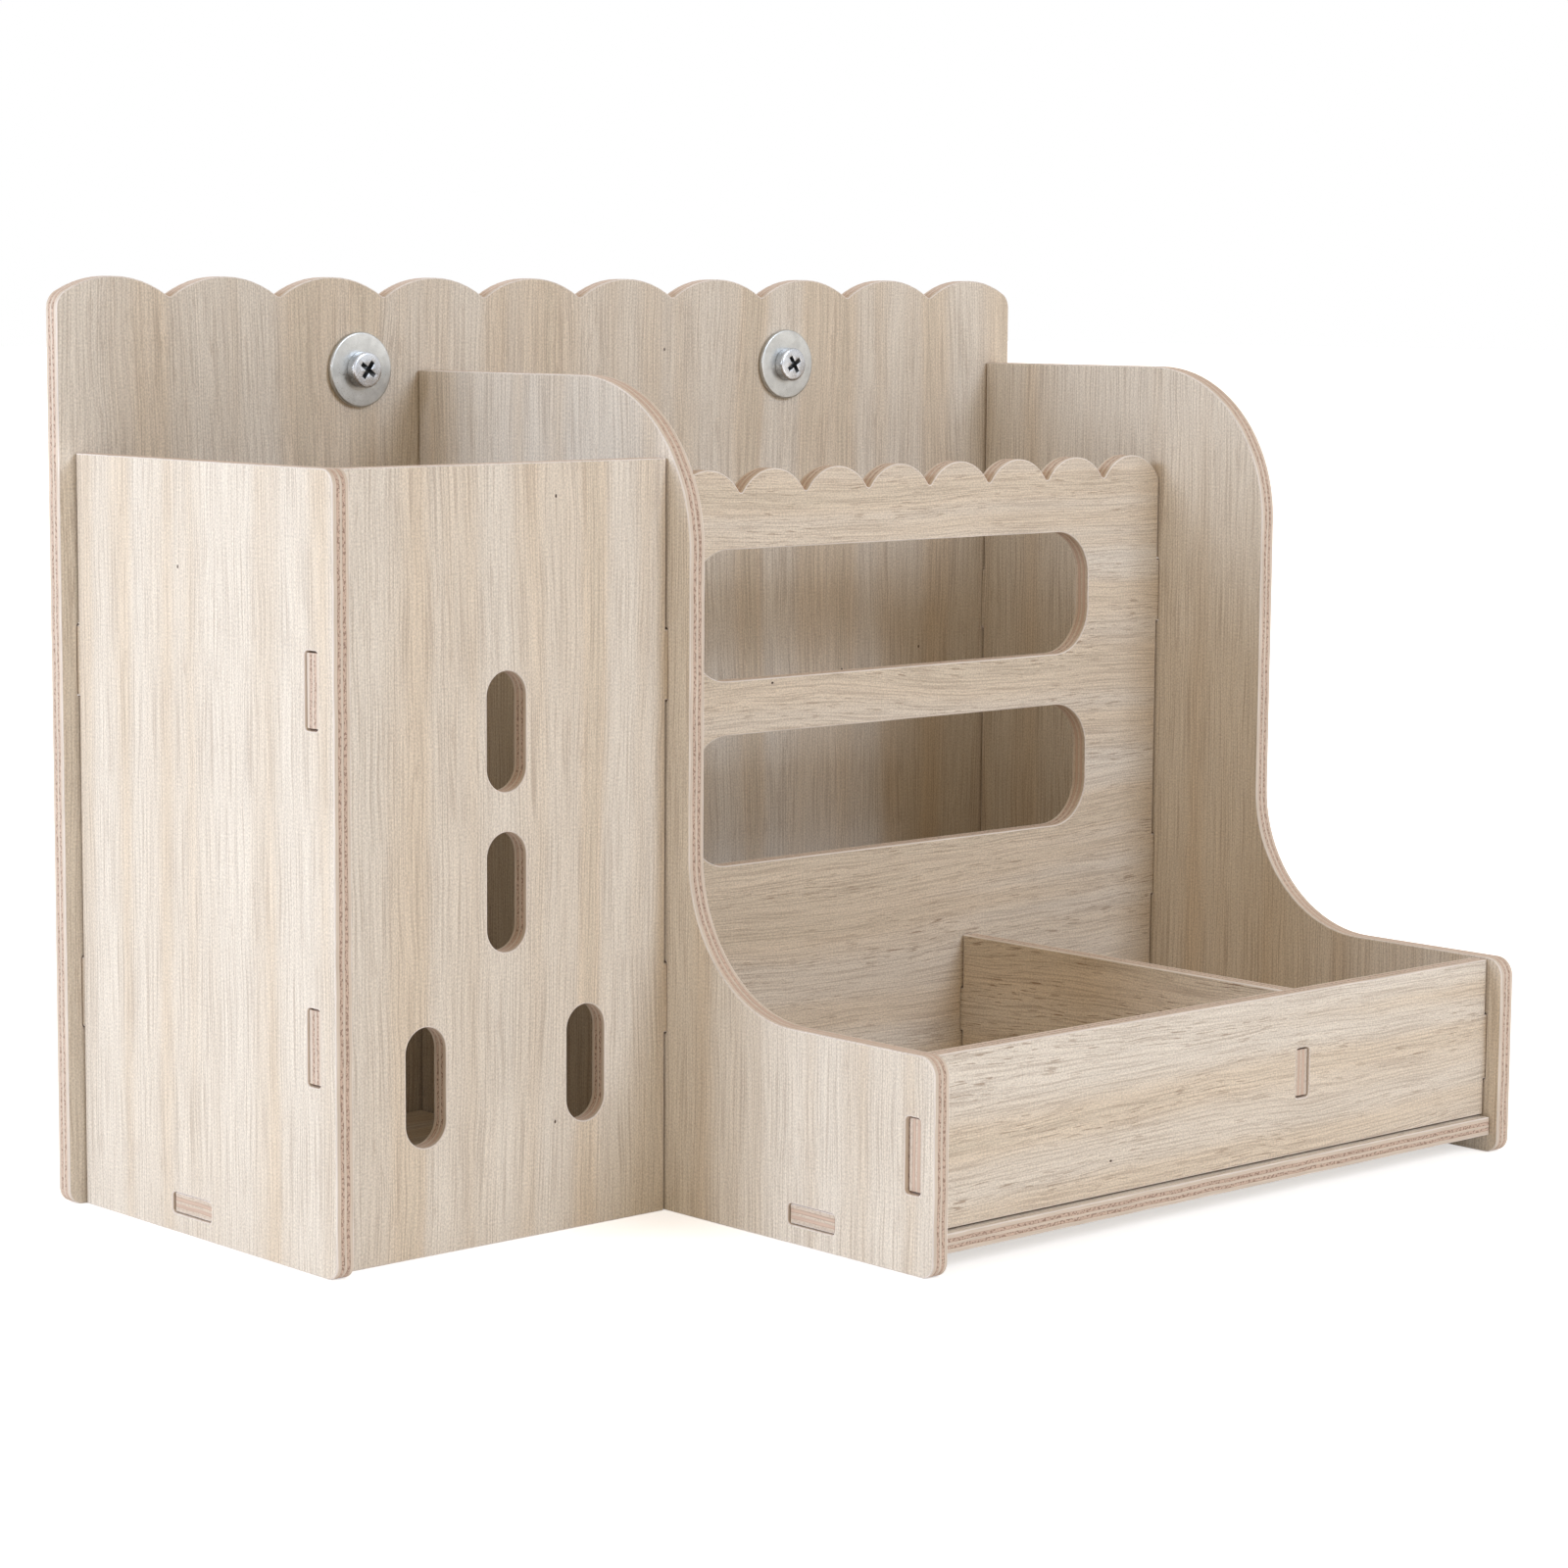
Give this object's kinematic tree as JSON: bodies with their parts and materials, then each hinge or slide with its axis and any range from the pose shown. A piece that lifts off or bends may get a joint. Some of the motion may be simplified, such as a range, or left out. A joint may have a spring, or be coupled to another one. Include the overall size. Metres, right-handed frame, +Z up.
{
  "type": "hay feeder box",
  "caption": "Slot-together wooden hay feeder: closed hay box with pull-out holes, scalloped hay rack with long openings, divided food trough, and screws that clamp it to a cage wall.",
  "frame": {"origin": "middle of the bounding box's footprint, on the surface that the feeder stands on", "axes": "+X to the right along the back panel, +Y out of the back towards the cage wall, +Z up"},
  "size_m": [0.342, 0.224, 0.238],
  "materials": {
    "oak_veneered_ply": "pale oak-look laminate, satin, bare ply at the cut edges",
    "zinc_plated_steel": "bright zinc plate"
  },
  "bodies": {
    "feeder": {"back_panel": "oak_veneered_ply", "left_side": "oak_veneered_ply", "middle_side": "oak_veneered_ply", "right_side": "oak_veneered_ply", "box_front": "oak_veneered_ply", "box_floor": "oak_veneered_ply", "rack_front": "oak_veneered_ply", "rack_floor": "oak_veneered_ply", "trough_front": "oak_veneered_ply", "trough_divider": "oak_veneered_ply", "left_screw": "zinc_plated_steel", "right_screw": "zinc_plated_steel", "left_front_washer": "zinc_plated_steel", "right_front_washer": "zinc_plated_steel"},
    "left_rear_washer": {"left_rear_washer": "zinc_plated_steel"},
    "left_wing_nut": {"left_wing_nut": "zinc_plated_steel"},
    "right_rear_washer": {"right_rear_washer": "zinc_plated_steel"},
    "right_wing_nut": {"right_wing_nut": "zinc_plated_steel"}
  },
  "joints": [
    {"name": "left_nut_travel", "type": "slide", "parent": "feeder", "child": "left_rear_washer", "axis": [0, 1, 0], "range_m": [0, 0.0097]},
    {"name": "left_nut_spin", "type": "hinge", "parent": "left_rear_washer", "child": "left_wing_nut", "pos_m": [-0.0772, 0.0983, 0.2136], "axis": [0, 1, 0], "range_deg": [0, 4320]},
    {"name": "right_nut_travel", "type": "slide", "parent": "feeder", "child": "right_rear_washer", "axis": [0, 1, 0], "range_m": [0, 0.0097]},
    {"name": "right_nut_spin", "type": "hinge", "parent": "right_rear_washer", "child": "right_wing_nut", "pos_m": [0.0772, 0.0983, 0.2136], "axis": [0, 1, 0], "range_deg": [0, 4320]}
  ],
  "couplings": [
    {"joint": "left_nut_travel", "follows": "left_nut_spin", "m_per_rad": 0.00012732},
    {"joint": "right_nut_travel", "follows": "right_nut_spin", "m_per_rad": 0.00012732}
  ]
}
